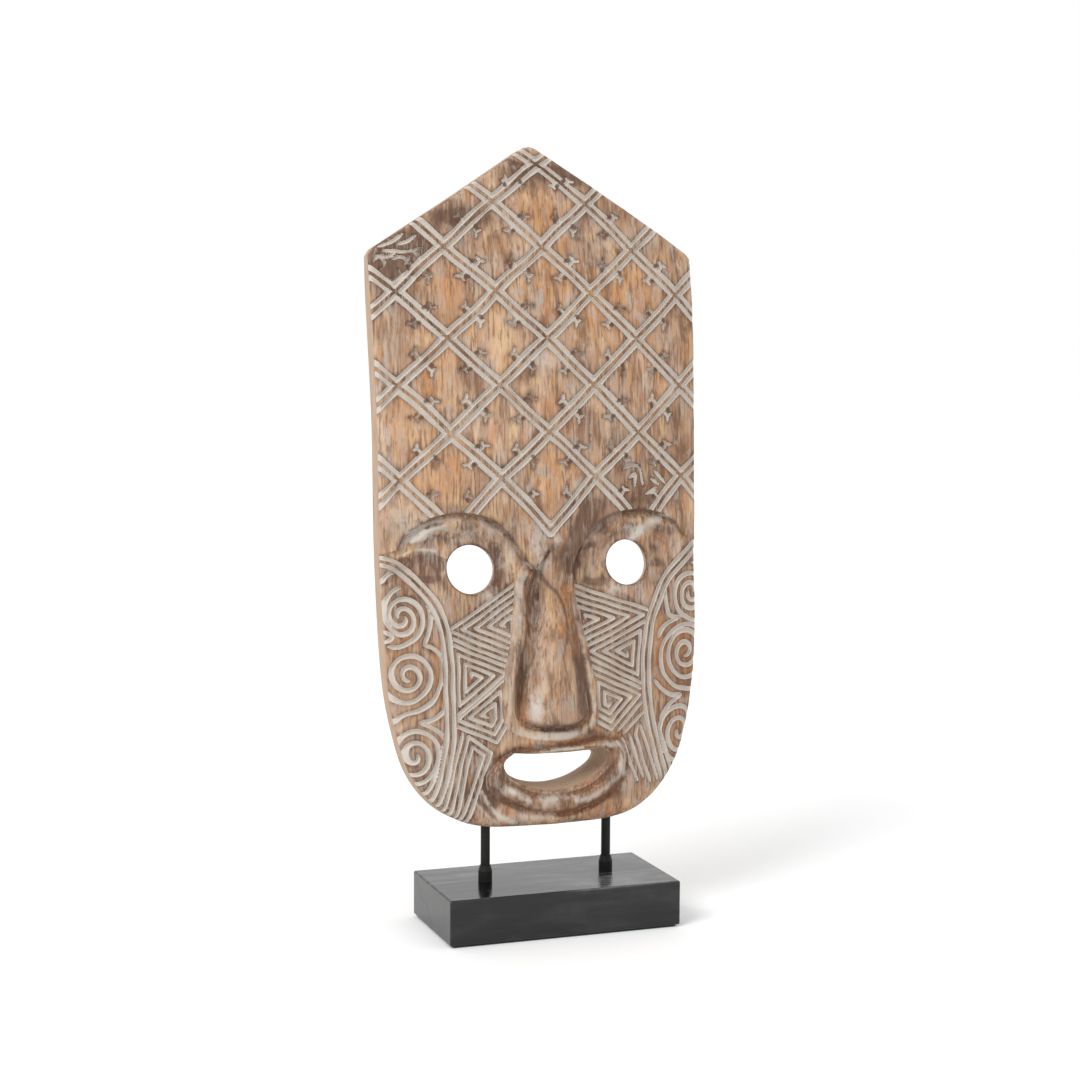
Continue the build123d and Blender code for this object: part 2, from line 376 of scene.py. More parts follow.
def side_panels():
    """The double arcs, the spirals and the lines that link them."""
    double_line(ARC_LEFT)
    double_line(ARC_RIGHT)
    for line in spirals():
        groove(line, 1.85, zone="panel")
        groove(mirrored(line), 1.85, zone="panel")
    for line in LINKS_LEFT + LINKS_RIGHT:
        groove(smooth(line), 1.75, zone="panel")


# The cheeks: each figure is one groove that winds inwards. A figure is its corners, anticlockwise,
# and how far outside it each edge starts.
PITCH = 4.6
SHORTEST_RUN = 2.4       # a figure's path ends before a run shorter than this
CHEEK_FIGURES = [
    ([(-84, 121.5), (-32, 98.5), (-24, 159)], (0, 15, 0)),
    ([(-34, 95), (-77, 114), (-77, 60)], (0, 0, 0)),
    ([(-78, 56), (-45.5, 41.5), (-36.5, 56), (-38.5, 88)], (0, 0, 0, 0)),
    ([(-71, 50), (-86, -14), (-68, -14), (-49.5, 34)], (0, 9, 0, 0)),
    ([(81, 133), (21, 153.5), (24, 107.5)], (0, 14, 0)),
    ([(24, 102.5), (72, 78.5), (77, 126)], (0, 0, 0)),
    ([(73, 74), (25, 96.5), (27, 57), (45, 46)], (0, 0, 0, 0)),
]
CHEEK_LINES = [
    [(72, 66), (50, 44)], [(73, 57.5), (55, 42)], [(70, 48), (73, 38), (78, 22), (83, 6)],
    [(68, 48), (65.5, 40), (69, 28), (77, 4)], [(60, 41), (63, 30), (71, 8)], [(54, 39), (58, 26), (66, 6)],
]


def winding(corners, starts):
    """The path of a groove that runs round a figure and is one pitch further in each time round."""
    p = np.array(corners, float)
    runs = np.roll(p, -1, axis=0) - p
    runs /= np.linalg.norm(runs, axis=1)[:, None]
    normals = np.stack([-runs[:, 1], runs[:, 0]], 1)
    sides = len(p)

    def meeting(m):
        """Where edge m of the path meets the next one."""
        pair = [(k % sides, max(0, k // sides)) for k in (m, m + 1)]
        n = np.array([normals[i] for i, level in pair])
        d = [normals[i] @ p[i] - starts[i] + PITCH * level for i, level in pair]
        return np.linalg.solve(n, d)

    path = [meeting(-1)]
    while len(path) < 40:
        corner = meeting(len(path) - 1)
        if (corner - path[-1]) @ runs[(len(path) - 1) % sides] < SHORTEST_RUN:
            break
        path.append(corner)
    return np.array(path)


def cheeks():
    """The wound figures, and the lines beside the right end of the mouth."""
    for corners, starts in CHEEK_FIGURES:
        groove(winding(corners, starts), 1.32, 1.8, "cheek")
    for line in CHEEK_LINES:
        groove(line, 1.32, 1.7, "cheek")


# The flat border round the nose, and the lips.
BORDER = [(-18, 169), (-23.5, 160), (-25, 145), (-28.5, 120), (-33.5, 98), (-36.5, 76), (-36.5, 60),
          (-31, 50.5), (-18, 45.5), (0, 43.5), (16, 45), (28, 51), (31, 62), (28.5, 80), (24, 104),
          (19.5, 125), (16, 146), (14.5, 160)]
BORDER_HALF = 3.4
LIPS_RING = [(-54, 12.5), (-49.5, 22.5), (-37, 32), (-23, 35), (1, 35.3), (16, 37), (28, 39.3), (42, 39.3),
             (52.5, 35.3), (57.3, 22.5), (54.3, 10), (43.6, -0.4), (28.4, -9.5), (7, -14.5), (-17.4, -12),
             (-32.6, -6.5), (-47.8, 2.8)]


def zones(u, v):
    """How freely each family of grooves may be cut at each point, from 0 to 1."""
    arcs = np.minimum(nearest(smooth(ARC_LEFT), u, v, 12)[0], nearest(smooth(ARC_RIGHT), u, v, 12)[0])
    border = nearest(smooth(BORDER), u, v, 12)[0]
    lips = smooth(LIPS_RING, closed=True)
    beyond_lips = np.where(inside(lips, u, v), 0, nearest(closed(lips), u, v, 12)[0])
    beside_arcs = smoothstep(4.4, 5.2, arcs)
    cheek = beside_arcs * smoothstep(BORDER_HALF, BORDER_HALF + 0.8, border) * smoothstep(1, 3, beyond_lips)
    cheek = np.where(inside(smooth(BORDER), u, v), 0, cheek)
    brow = smoothstep(-0.6, -1.6, below_brow(u, v))
    return {"free": np.ones(u.shape), "panel": beside_arcs, "cheek": cheek, "forehead": brow, "barbs": brow}


def below_brow(u, v):
    """How far each point lies below the brow step, in mm. It is negative on the forehead."""
    left = np.vstack([smooth(BROW_LEFT)[:-1], smooth(BROW_TIP)])
    right = smooth(BROW_RIGHT)
    depth = np.full(u.shape, -90.0)
    for line, closing in ((left, UNDER_LEFT_BROW), (right, UNDER_RIGHT_BROW)):
        gap = nearest(line, u, v, 90)[0]
        under = inside(np.vstack([line, closing]), u, v)
        above = np.where(depth > 0, depth, np.maximum(depth, -gap))
        depth = np.where(under, np.maximum(depth, gap), above)
    return depth


def grooves_at(u, v):
    """The washed grooves: strength (1 in their middle, 0 at their edges, less outside), depth, closeness.
    The barbs' wash is worn off here and there, though they stay cut."""
    allowed = zones(u, v)
    strength, near = lattice(u, v)
    strength = np.minimum(strength, 2 * allowed["forehead"] - 1)
    near = near * allowed["forehead"]
    depth = LATTICE_DEPTH * profile(strength)
    wavy_u = u + 0.35 * ripple(u, v, 24, 8)
    wavy_v = v + 0.35 * ripple(u, v, 21, 9)
    for line, half, deep, zone in GROOVES:
        gap, place = nearest(line, wavy_u, wavy_v, half + WIDE_REACH * NEAR_REACH)
        length = np.linalg.norm(np.diff(line, axis=0), axis=1).sum()
        ends = np.minimum(place, length - place)
        tapered = half * (0.55 + 0.45 * np.minimum(1, (ends + 0.3) / 3))
        width = tapered * (1 + 0.1 * np.sin(place / 5 + half * 9))
        here = np.minimum(np.maximum(1 - gap / width, -1), 2 * allowed[zone] - 1)
        worn = np.minimum(here, 0.05 + 0.07 * ripple(u, v, 30, 3))
        strength = np.maximum(strength, worn if zone == "barbs" else here)
        depth = np.maximum(depth, deep * profile(here))
        reach = NEAR_REACH * (WIDE_REACH if zone in ("cheek", "panel") else 1)
        near = np.maximum(near, np.clip(1 - (gap - width) / reach, 0, 1) * allowed[zone])
    return strength, depth, near


def profile(strength):
    """A gouge cut: steep sides and a round floor."""
    return np.sin(0.5 * math.pi * np.clip(strength * 1.4 + 0.05, 0, 1)) ** 2


# ---------------------------------------------------------------- relief
SOCKET_DROP = 6.0        # the step under the brows
SOCKET_LENGTH = 62       # how far down the sockets fade out
ROLL = 3.0               # the rolled edge under each brow
ROLL_WIDTH = 15
WELL = [(-13, 168), (-18, 152), (-21, 132), (-26, 108), (-31, 86), (-32.5, 66), (-29.5, 55), (-21, 48.8),
        (-9, 46.5), (5, 46.3), (17, 48.8), (25.5, 55.5), (28, 66), (25.5, 82), (21.5, 104), (18, 126),
        (14.5, 146), (12, 163), (3, 176), (-6, 176)]
WELL_DEPTH = 5.4         # the nose stands in a sunk ground
NOSE_LEVELS = [44, 50, 58, 70, 85, 100, 120, 140, 155, 170, 185, 198]
NOSE_CENTRE = [0, 0, 0, 0.5, 1, 2, 3, 3.5, 3, 4, 8, 10]
NOSE_HALF = [25, 26, 27, 26, 23, 20, 15.5, 12.5, 10.5, 9.5, 7, 3]
NOSE_RISE = [10, 10.6, 11.4, 11, 9.6, 8, 6.2, 4.6, 3.6, 2.6, 1.8, 0.2]
NOSE_TIP = 50
LIP_RISE = 3.6
LIP_MOAT = 3.0           # the cut round the lips
LIP_CUT = 1.7            # the cut along the lower lip
BORDER_RISE = 1.0


def nominal(u, v):
    """The board's plain crowned front."""
    radius = (CROWN_HALF_WIDTH**2 + CROWN**2) / (2 * CROWN)
    crown = EDGE_THICK + CROWN - radius + np.sqrt(radius**2 - u**2)
    return crown - TOP_FALL_RATE * np.maximum(0, v - TOP_FALL_START) ** 2


def brow_drop(u, v):
    """How much lower the sockets are than the forehead."""
    below = below_brow(u, v)
    roll = ROLL * np.sin(math.pi * np.clip(below / ROLL_WIDTH, 0, 1)) ** 1.3
    fade = 1 - smoothstep(16, SOCKET_LENGTH, below)
    outer = np.where(u < 0, smoothstep(124, 106, -u), smoothstep(112, 84, u))
    sunk = SOCKET_DROP * fade * (0.3 + 0.7 * outer)
    drop = smoothstep(-0.8, 0.9, below) * (sunk - roll * (0.2 + 0.8 * outer))
    centre = np.interp(v, NOSE_LEVELS, NOSE_CENTRE)
    beside = np.where(u < centre, smoothstep(13, 6, centre - u), smoothstep(16, 9, u - centre))
    bridge = beside * smoothstep(146, 162, v)
    return drop + bridge * (0.4 * SOCKET_DROP * smoothstep(194, 156, v) - drop)


def well(u, v):
    """How far the ground round the nose is sunk."""
    line = smooth(WELL, closed=True)
    within = inside(line, u, v)
    gap = nearest(closed(line), u, v, 8)[0]
    return WELL_DEPTH * np.where(within, smoothstep(0, 5.5, gap), 0) * smoothstep(178, 158, v)


def nose(u, v):
    """The nose's height as a share of its ridge's, and how far across it each point is: -1 to 1 on it."""
    centre = np.interp(v, NOSE_LEVELS, NOSE_CENTRE) + 1.2 * np.sin(v / 17) * smoothstep(90, 130, v)
    half = np.interp(v, NOSE_LEVELS, NOSE_HALF)
    across = (u - centre) / half
    share = np.clip(1 - np.abs(across) ** 2.3, 0, 1) ** 0.62
    tip = NOSE_TIP + 7 * np.clip(np.abs(across), 0, 1) ** 2.5
    return share * smoothstep(tip - 2.5, tip + 3.5, v) * smoothstep(200, 186, v), across


def lips(u, v):
    """The lips' height, how dark the cuts round and along them are, and how far inside them each point is."""
    ring = smooth(LIPS_RING, closed=True)
    opening = mouth()
    from_outside = nearest(closed(ring), u, v, 40)[0] * np.where(inside(ring, u, v), 1, -1)
    from_mouth = nearest(closed(opening), u, v, 40)[0] * np.where(inside(opening, u, v), -1, 1)
    share = np.clip(from_outside / np.maximum(from_outside + from_mouth, 1), 0, 1)
    swell = LIP_RISE * np.sin(math.pi * np.clip(share * 1.05, 0, 1)) ** 0.8
    width = 2.4 + 1.0 * smoothstep(24, 38, v)
    moat = bell(from_outside - 0.3, width) * (0.85 + 0.15 * ripple(u, v, 14, 4))
    lower = bell(from_mouth - 3.9 - 0.6 * ripple(u, v, 18, 5), 1.5)
    lower = lower * smoothstep(32, 16, v) * smoothstep(1, 4, from_outside)
    upper = bell(from_mouth - 2.8 - 0.5 * ripple(u, v, 16, 6), 1.0) * smoothstep(26, 34, v)
    height = np.where(from_outside > 0, swell, 0) - LIP_MOAT * moat - LIP_CUT * lower
    return height, np.maximum(np.maximum(moat, lower), 0.9 * upper), from_outside


def relief(u, v):
    """The front's height without the grooves."""
    w = nominal(u, v) - brow_drop(u, v)
    share = nose(u, v)[0]
    floor = well(u, v)
    rise = np.interp(v, NOSE_LEVELS, NOSE_RISE)
    w = w - floor + share * (rise + floor)
    border = nearest(smooth(BORDER), u, v, 9)[0]
    w = w + BORDER_RISE * smoothstep(BORDER_HALF + 1.2, BORDER_HALF - 0.6, border) * (1 - share)
    w = w + lips(u, v)[0]
    w = w + 0.45 * ripple(u, v, 26, 2) + 0.2 * ripple(u, v / 3, 9, 4)
    return w


# ---------------------------------------------------------------- colour patches
# Placed one by one: (u, v, reach across, reach up and down, amount).
# Mostly burn and stain. The spot at (0, 50) is a painted shadow under the nose's tip, and those at (-15, 146)
# and (-25, 92) are stain and painted shade in the nose's left valley.
BURNT_AND_SHADE_SPOTS = [
    (-110, 392, 20, 18, 0.8), (-48, 430, 22, 12, 0.6), (-18, 463, 18, 8, 0.6), (14, 464, 16, 9, 0.8),
    (60, 438, 16, 9, 0.45), (-112, 338, 16, 26, 0.5), (-82, 352, 22, 10, 0.45), (-60, 405, 10, 20, 0.4),
    (62, 258, 24, 20, 0.6), (78, 226, 26, 16, 0.7), (110, 276, 9, 24, 0.65), (28, 204, 20, 16, 0.7),
    (-30, 206, 16, 12, 0.4), (-95, 171, 16, 11, 0.5), (-40, 158, 13, 11, 0.55), (-15, 146, 5, 24, 0.6),
    (-25, 92, 5, 30, 0.45), (22, 90, 5, 40, 0.5), (0, 50, 24, 4, 0.8), (-54, 8, 10, 16, 0.6),
    (46, 12, 12, 12, 0.5), (-60, 12, 6, 12, 0.5), (8, 178, 8, 12, 0.5), (-98, 20, 16, 12, 0.35),
    (30, 130, 8, 26, 0.6), (-45, 385, 10, 14, 0.3), (-60, 4, 8, 8, 0.8), (-50, 28, 7, 5, 0.6),
    (53, 32, 6, 10, 0.7), (48, -2, 12, 6, 0.6), (30, 45, 14, 3, 0.7), (-88, 194, 22, 9, 0.35),
    (-56, 192, 16, 8, 0.35), (-60, 142, 18, 8, 0.5), (-98, 158, 12, 16, 0.4), (-54, 14, 7, 16, 0.8),
    (-45, 14, 8, 14, 0.6), (-30, -4, 10, 5, 0.4), (26, -2, 14, 5, 0.35), (46, 10, 7, 10, 0.5),
    (90, 178, 14, 18, 0.2), (-96, 408, 24, 14, 1.0), (0, 458, 30, 9, 0.6), (-60, 424, 34, 7, 0.5),
    (60, 430, 30, 7, 0.35), (-116, 388, 16, 18, 0.9), (32, 455, 16, 8, 0.8), (-70, 430, 26, 7, 0.6),
    (-100, 368, 18, 10, 0.5), (92, 408, 24, 10, 0.4), (-50, 110, 30, 44, 0.3), (62, 110, 28, 44, 0.2),
    (-60, 80, 20, 40, 0.25), (-62, 20, 16, 30, 0.25), (60, 216, 34, 6, 0.5), (-70, 214, 34, 4, 0.5),
    (-112, 200, 8, 10, 0.4), (-38, 236, 30, 14, 0.25), (35, 400, 16, 16, 0.3),
]
PALE = [
    (-12, 184, 7, 12, 0.7), (-6, 170, 4, 4, 0.8), (5, 188, 4, 5, 0.5), (-17, 66, 5, 13, 0.9),
    (0, 321, 8, 9, 0.7), (-57, 27, 9, 9, 0.5), (-32, 166, 8, 8, 0.12), (30, 166, 6, 10, 0.2),
    (-96, 193, 13, 5, 0.6), (70, 196, 14, 4, 0.6), (-37, 5, 6, 3.5, 0.6), (41, 35, 11, 3, 0.6),
    (51, 18, 3, 10, 0.7), (0, -1, 18, 3, 0.5), (-56, 196, 18, 6, 0.35), (105, 182, 10, 10, 0.4),
    (-120, 270, 10, 60, 0.3), (20, 300, 8, 10, 0.35), (-118, 60, 8, 60, 0.3), (-22, 200, 14, 8, 0.35),
    (60, 20, 10, 16, 0.4), (5, 44, 22, 3, 0.4), (-12, 105, 4, 30, 0.35), (-45, 148, 10, 5, 0.4),
    (-34, 172, 8, 10, 0.15), (33, 172, 6, 12, 0.2), (54, 150, 12, 5, 0.5), (-46, 8, 5, 6, 0.35),
    (-105, 205, 14, 12, 0.5),
]
WARM = [
    (0, 430, 13, 16, 0.9), (-75, 374, 20, 26, 0.7), (76, 370, 24, 24, 0.7), (-82, 232, 24, 20, 0.7),
    (-108, 276, 12, 40, 0.6), (3, 372, 8, 60, 0.7), (6, 120, 7, 34, 0.7), (18, 130, 4, 34, 0.9),
    (-86, 92, 5, 34, 0.9), (88, 92, 7, 40, 0.9), (-17, 136, 5, 30, 0.8), (4, 39, 48, 4, 0.45),
    (54, 30, 6, 14, 0.5), (-8, -12, 40, 3, 0.6), (50, 22, 5, 14, 0.6), (-48, 27, 5, 9, 0.9),
    (-112, 100, 14, 40, 0.5), (108, 100, 14, 50, 0.6), (35, 0, 20, 9, 0.7), (-24, 66, 3, 14, 0.9),
    (9, 194, 4, 14, 0.8), (0, 240, 14, 24, 0.5), (95, 190, 16, 10, 0.4), (-75, 300, 22, 20, 0.5),
    (40, 350, 16, 18, 0.4), (-60, 138, 16, 10, 0.4), (38, -16, 30, 6, 0.6), (-106, 178, 6, 10, 0.6),
]


def patches(table, u, v):
    """A table's soft spots of colour, added up."""
    total = np.zeros(u.shape)
    for at_u, at_v, wide, high, amount in table:
        total += amount * spot(u, v, at_u, at_v, wide, high)
    return np.clip(total, 0, 1)


# Soft streaks along a line: (points, width, amount).
BURNT_STREAKS = [
    ([(-9, 167), (-3, 156), (4, 149), (8, 140), (9.5, 126), (8, 112)], 1.6, 0.75),
    ([(2, 184), (8, 178), (10.5, 168), (12, 156)], 1.8, 0.6),
    ([(-19, 160), (-19, 148), (-20, 136)], 3.0, 0.35),
    ([(34, 212), (24, 196), (19, 178), (17, 160)], 7, 0.8),
    ([(-16, 150), (-13, 158), (-10, 165)], 2.2, 0.5),
    ([(-107, 175), (-98, 178), (-86, 178)], 3.6, 0.6),
    ([(-92, 190), (-84, 192), (-76, 190)], 3.0, 0.5),
    ([(-82, 176), (-84, 166), (-80, 156)], 2.4, 0.55),
    ([(-42, 182), (-38, 172), (-40, 160)], 2.6, 0.8),
    ([(30, 184), (27, 174), (28, 160)], 2.0, 0.6),
    ([(36, 186), (35, 176), (37, 166)], 1.6, 0.55),
    ([(-41, 176), (-39, 167), (-42, 158)], 2.2, 0.8),
    ([(-44, 152), (-36, 150), (-33, 156)], 1.8, 0.6),
    ([(-74, 192), (-66, 194), (-58, 193)], 1.8, 0.5),
    ([(42, 162), (46, 153), (56, 147), (68, 141)], 1.3, 0.6),
    ([(44, 182), (52, 191), (62, 192.5)], 1.2, 0.5),
    ([(-52, 20), (-55, 8), (-48, -4)], 4, 0.6),
    ([(-6, 90), (-8, 70), (-6, 58)], 1.5, 0.3),
    ([(14, 100), (17, 80), (18, 62)], 3, 0.4),
]
PALE_STREAKS = [
    ([(-110, 187), (-101, 197), (-88, 203.5), (-73, 206)], 1.6, 0.7),
    ([(-103, 190), (-94, 197), (-80, 200.5)], 2.2, 0.6),
    ([(-109, 180.5), (-103, 183.5), (-94, 184), (-86, 183)], 1.5, 0.6),
    ([(-72, 208), (-52, 204), (-40, 195), (-30, 183), (-23, 172)], 3.6, 0.3),
    ([(66, 186), (76, 194)], 4, 0.8),
    ([(84, 201), (97, 205)], 3.2, 0.7),
    ([(28, 186), (42, 200), (56, 206)], 3.2, 0.4),
    ([(-20, 30.5), (0, 33.5), (20, 34)], 1.5, 0.8),
    ([(-40, 9), (-30, 1), (-22, -3)], 2.2, 0.45),
    ([(14, -5), (26, -3), (36, 2)], 2.4, 0.6),
    ([(24, -5), (36, 1), (46, 10)], 2.4, 0.6),
    ([(-58, 6), (-48, -10), (-34, -19)], 2.0, 0.7),
    ([(-64, 0), (-52, -14), (-44, -19)], 1.4, 0.5),
    ([(12, 194), (14.5, 188), (13.5, 181), (8, 174)], 2.8, 0.3),
    ([(50, 36), (56, 26), (55, 12)], 1.6, 0.6),
]


def streaks(table, u, v):
    """A table's soft streaks, the strongest at each point."""
    total = np.zeros(u.shape)
    for points, width, amount in table:
        gap = nearest(smooth(points), u, v, 2.6 * width)[0]
        total = np.maximum(total, amount * bell(gap, width) * (gap < 2.55 * width))
    return total


def shadow_scores_at(u, v):
    """The shallow cuts painted dark as the barbs' painted shadows: how strong and how deep they are at each
    point.
    """
    strength = np.zeros(u.shape)
    depth = np.zeros(u.shape)
    for line, half, deep in SHADOW_SCORES:
        gap = nearest(line, u, v, half + 1.2)[0]
        strength = np.maximum(strength, np.clip(1 - gap / (half + 1.2), 0, 1))
        depth = np.maximum(depth, deep * profile(np.clip(1 - gap / half, 0, 1)))
    return strength, depth


# ---------------------------------------------------------------- the two boards
SPACING = 0.9            # between mesh points on edges and carved ground
BACK_SPACING = 6.0       # and on the back
EDGE_ROUND = 3.2
JAW_ROUND = 8.5
EYE_ROUND = 1.3
MOUTH_ROUND = 2.2
BACK_INSET = 1.3         # the back's bevelled edge
WALL_ROWS = 6
EYE_RIM = 6              # the eyes' walls stand straight this far, then widen towards the back
EYE_FLARE = 11
MOUTH_CLOSE = 2.6        # how much the mouth's opening narrows towards the back
SHARP_ANGLE = math.radians(48)
FIELDS = ("groove", "near", "shadow_score", "burn_and_shade", "pale", "warm", "wall")


def resample(line, step):
    """Evenly spaced points along an open line, both its ends included."""
    travelled = np.concatenate([[0], np.cumsum(np.linalg.norm(np.diff(line, axis=0), axis=1))])
    count = max(1, round(travelled[-1] / step))
    at = np.linspace(0, travelled[-1], count + 1)
    return np.stack([np.interp(at, travelled, line[:, 0]), np.interp(at, travelled, line[:, 1])], 1)


def one_side(loop, side):
    """The stretch of a closed line with side * u > 0, its two ends brought exactly onto u = 0."""
    on = side * loop[:, 0] > 0
    first = next(i for i in range(len(loop)) if on[i] and not on[i - 1])
    stretch = np.roll(loop, -first, axis=0)
    count = int(on.sum())

    def crossing(a, b):
        return a + (b - a) * a[0] / (a[0] - b[0])

    head = crossing(stretch[-1], stretch[0])
    tail = crossing(stretch[count - 1], stretch[count])
    return np.vstack([head, stretch[:count], tail])


def board_loops(side, step):
    """The board's outer edge, anticlockwise, and its eye, clockwise. Side is -1 for the left one."""
    edge = resample(one_side(outline(), side), step)
    lip = resample(one_side(mouth(), side), step)
    after_edge = resample(np.array([edge[-1], lip[0]]), step)
    after_lip = resample(np.array([lip[-1], edge[0]]), step)
    outer = np.vstack([edge[:-1], after_edge[:-1], lip[:-1], after_lip[:-1]])
    ring = eye(0 if side < 0 else 1)[::-1]
    return outer, resample(closed(ring), step)[:-1]


def edge_drop(u, v):
    """How far the front falls away over the rounded edges, and how near the outline and the eyes are."""
    drop = np.zeros(u.shape)
    gaps = []
    round_outline = EDGE_ROUND + (JAW_ROUND - EDGE_ROUND) * smoothstep(120, 45, v)
    edges = [(outline(), round_outline), (mouth(), MOUTH_ROUND), (eye(0), EYE_ROUND), (eye(1), EYE_ROUND)]
    for line, radius in edges:
        gap = nearest(closed(line), u, v, 12)[0]
        gaps.append(gap)
        short = np.clip(radius - gap, 0, radius)
        drop = np.maximum(drop, radius - np.sqrt(np.maximum(radius**2 - short**2, 0)))
    return drop, gaps[0], np.minimum(gaps[2], gaps[3])


def socket_share(below, nose_share):
    """1 in the eye sockets, under the brows and beside the nose."""
    return smoothstep(1, 6, below) * smoothstep(52, 34, below) * (nose_share < 0.2)


def burnt_and_shaded_share(u, v, below, nose_share, across, moat, from_lips, from_eye):
    """How dark each point of the front is painted: burnt and stained wood, and painted shade along the brow
    step, at the eyes' rims, on the nose's right flank and, with stain, in the nose's well.
    """
    # the dark ring at the eyes' rims is painted shade
    total = patches(BURNT_AND_SHADE_SPOTS, u, v) + streaks(BURNT_STREAKS, u, v) + 0.85 * bell(from_eye, 1.5)
    # a painted shadow along the brow step
    brow_step_shadow = bell(below + 0.4, 1.9) * smoothstep(122, 110, np.abs(u))
    total += 0.8 * brow_step_shadow + 0.1 * smoothstep(216, 196, v)
    bridge = spot(u, v, 3, 172, 15, 22)
    # the nose's well is darker: stain and painted shade in the hollow
    well_stain_and_shade = (well(u, v) / WELL_DEPTH) * (1 - nose_share) ** 1.4
    # painted shade on the nose's right flank, the side away from the key light
    right_flank_shade = smoothstep(0.35, 0.85, across) * smoothstep(1.15, 1.0, across) * smoothstep(48, 56, v)
    total += 0.2 * nose_share + 0.2 * bridge + 0.5 * well_stain_and_shade + 0.45 * right_flank_shade * (v < 150)
    lower_lip = smoothstep(-1, 3, from_lips) * smoothstep(32, 16, v)
    chin_right = spot(u, v, 20, -12, 30, 8) * (u > 0)
    total += 1.15 * moat + 0.22 * lower_lip + 0.5 * chin_right
    total += 0.7 * np.clip(1.6 * ripple(u, v, 12, 11) - 0.3, 0, 1) * socket_share(below, nose_share)
    return np.clip(total, 0, 1)


def washed_share(u, v, below, nose_share):
    """How much whitewash is left on each point of the front outside the grooves."""
    total = patches(PALE, u, v) + streaks(PALE_STREAKS, u, v)
    strip = nearest(smooth(BORDER), u, v, 9)[0]
    reach = BORDER_HALF * np.where(u > 12, 0.55, 1.0)
    border = smoothstep(reach + 1.0, reach - 1.2, strip) * (1 - nose_share)
    total += 0.6 * border * (0.7 + 0.3 * ripple(u, v, 34, 2))
    lip_left = spot(u, v, -8, -4.5, 13, 5)
    chin_left = spot(u, v, -16, -15, 26, 5)
    total += (0.4 * lip_left + 0.5 * chin_left) * (u < 0)
    total += 0.18 * np.clip(1.6 * ripple(u, v, 15, 12) - 0.4, 0, 1) * socket_share(below, nose_share)
    return np.clip(total, 0, 1)


def front_fields(u, v):
    """Everything about the front at each point: its height and the strengths that its colours follow."""
    strength, depth, near = grooves_at(u, v)
    cut, cut_depth = shadow_scores_at(u, v)
    drop, from_outline, from_eye = edge_drop(u, v)
    w = relief(u, v) - np.maximum(depth, cut_depth) * smoothstep(0, 3.5, from_outline) - drop
    below = below_brow(u, v)
    moat, from_lips = lips(u, v)[1:]
    nose_share, across = nose(u, v)
    burn_and_shade = burnt_and_shaded_share(u, v, below, nose_share, across, moat, from_lips, from_eye)
    pale = washed_share(u, v, below, nose_share)
    warm = np.clip(patches(WARM, u, v) + 0.5 * moat, 0, 1)
    return {"w": w, "groove": strength, "near": near, "shadow_score": cut, "burn_and_shade": burn_and_shade, "pale": pale, "warm": warm,
            "wall": np.zeros(u.shape)}


def plain_fields(count, wash=0.0):
    """The same strengths for points on walls and backs, where nothing is carved."""
    plain = {"groove": -1.0, "wall": 1.0, "pale": wash}
    return {field: np.full(count, plain.get(field, 0.0)) for field in FIELDS}


def hex_points(low, high, step):
    """A triangular grid of points over a box, and which of them are also on a grid twice as wide."""
    rows = np.arange(low[1], high[1], step * 0.866)
    columns = np.arange(low[0], high[0], step)
    u = columns[None] + np.where(np.arange(len(rows)) % 2, step / 2, 0)[:, None]
    v = np.repeat(rows[:, None], len(columns), 1)
    coarse = (np.arange(len(rows)) % 2 == 0)[:, None] & (np.arange(len(columns)) % 2 == 0)[None]
    return u.ravel(), v.ravel(), coarse.ravel()


def fill(loops, u, v):
    """Triangles over the area between closed loops, through the given inner points. The loops come first."""
    points = np.vstack(loops + [np.stack([u, v], 1)])
    edges = []
    start = 0
    for loop in loops:
        ids = np.arange(start, start + len(loop))
        edges += list(zip(ids.tolist(), np.roll(ids, -1).tolist()))
        start += len(loop)
    result = delaunay_2d_cdt([Vector(p) for p in points], edges, [], 1, 1e-5)
    origin = [min(o) for o in result[3]]
    corners = np.array([[origin[i] for i in face] for face in result[2]])
    middle = points[corners].mean(1)
    at_edge = (corners < start).all(1)
    keep = np.ones(len(corners), bool)
    m = middle[at_edge]
    within = inside(loops[0], m[:, 0], m[:, 1])
    for hole in loops[1:]:
        within &= ~inside(hole, m[:, 0], m[:, 1])
    keep[at_edge] = within
    return points, corners[keep]


def wall_outward(loop):
    """The direction out of the wood at each point of a loop. Points on the seam stay on it."""
    along = np.roll(loop, -1, axis=0) - np.roll(loop, 1, axis=0)
    along /= np.linalg.norm(along, axis=1)[:, None]
    out = np.stack([along[:, 1], -along[:, 0]], 1)
    on_seam = loop[:, 0] == 0
    beside = np.where(np.roll(on_seam, -1)[:, None], np.roll(out, 1, axis=0), np.roll(out, -1, axis=0))
    ends = on_seam & ~(np.roll(on_seam, -1) & np.roll(on_seam, 1))
    out[on_seam] = 0
    out[ends, 1] = np.sign(beside[ends, 1])
    return out


def to_row(u, v, w):
    """Points on the mask's leaning plane, in metres."""
    y = PLANE_Y - w * math.cos(LEAN) + v * math.sin(LEAN)
    z = PLANE_Z + v * math.cos(LEAN) + w * math.sin(LEAN)
    return np.stack([u, y, z], 1) * MM


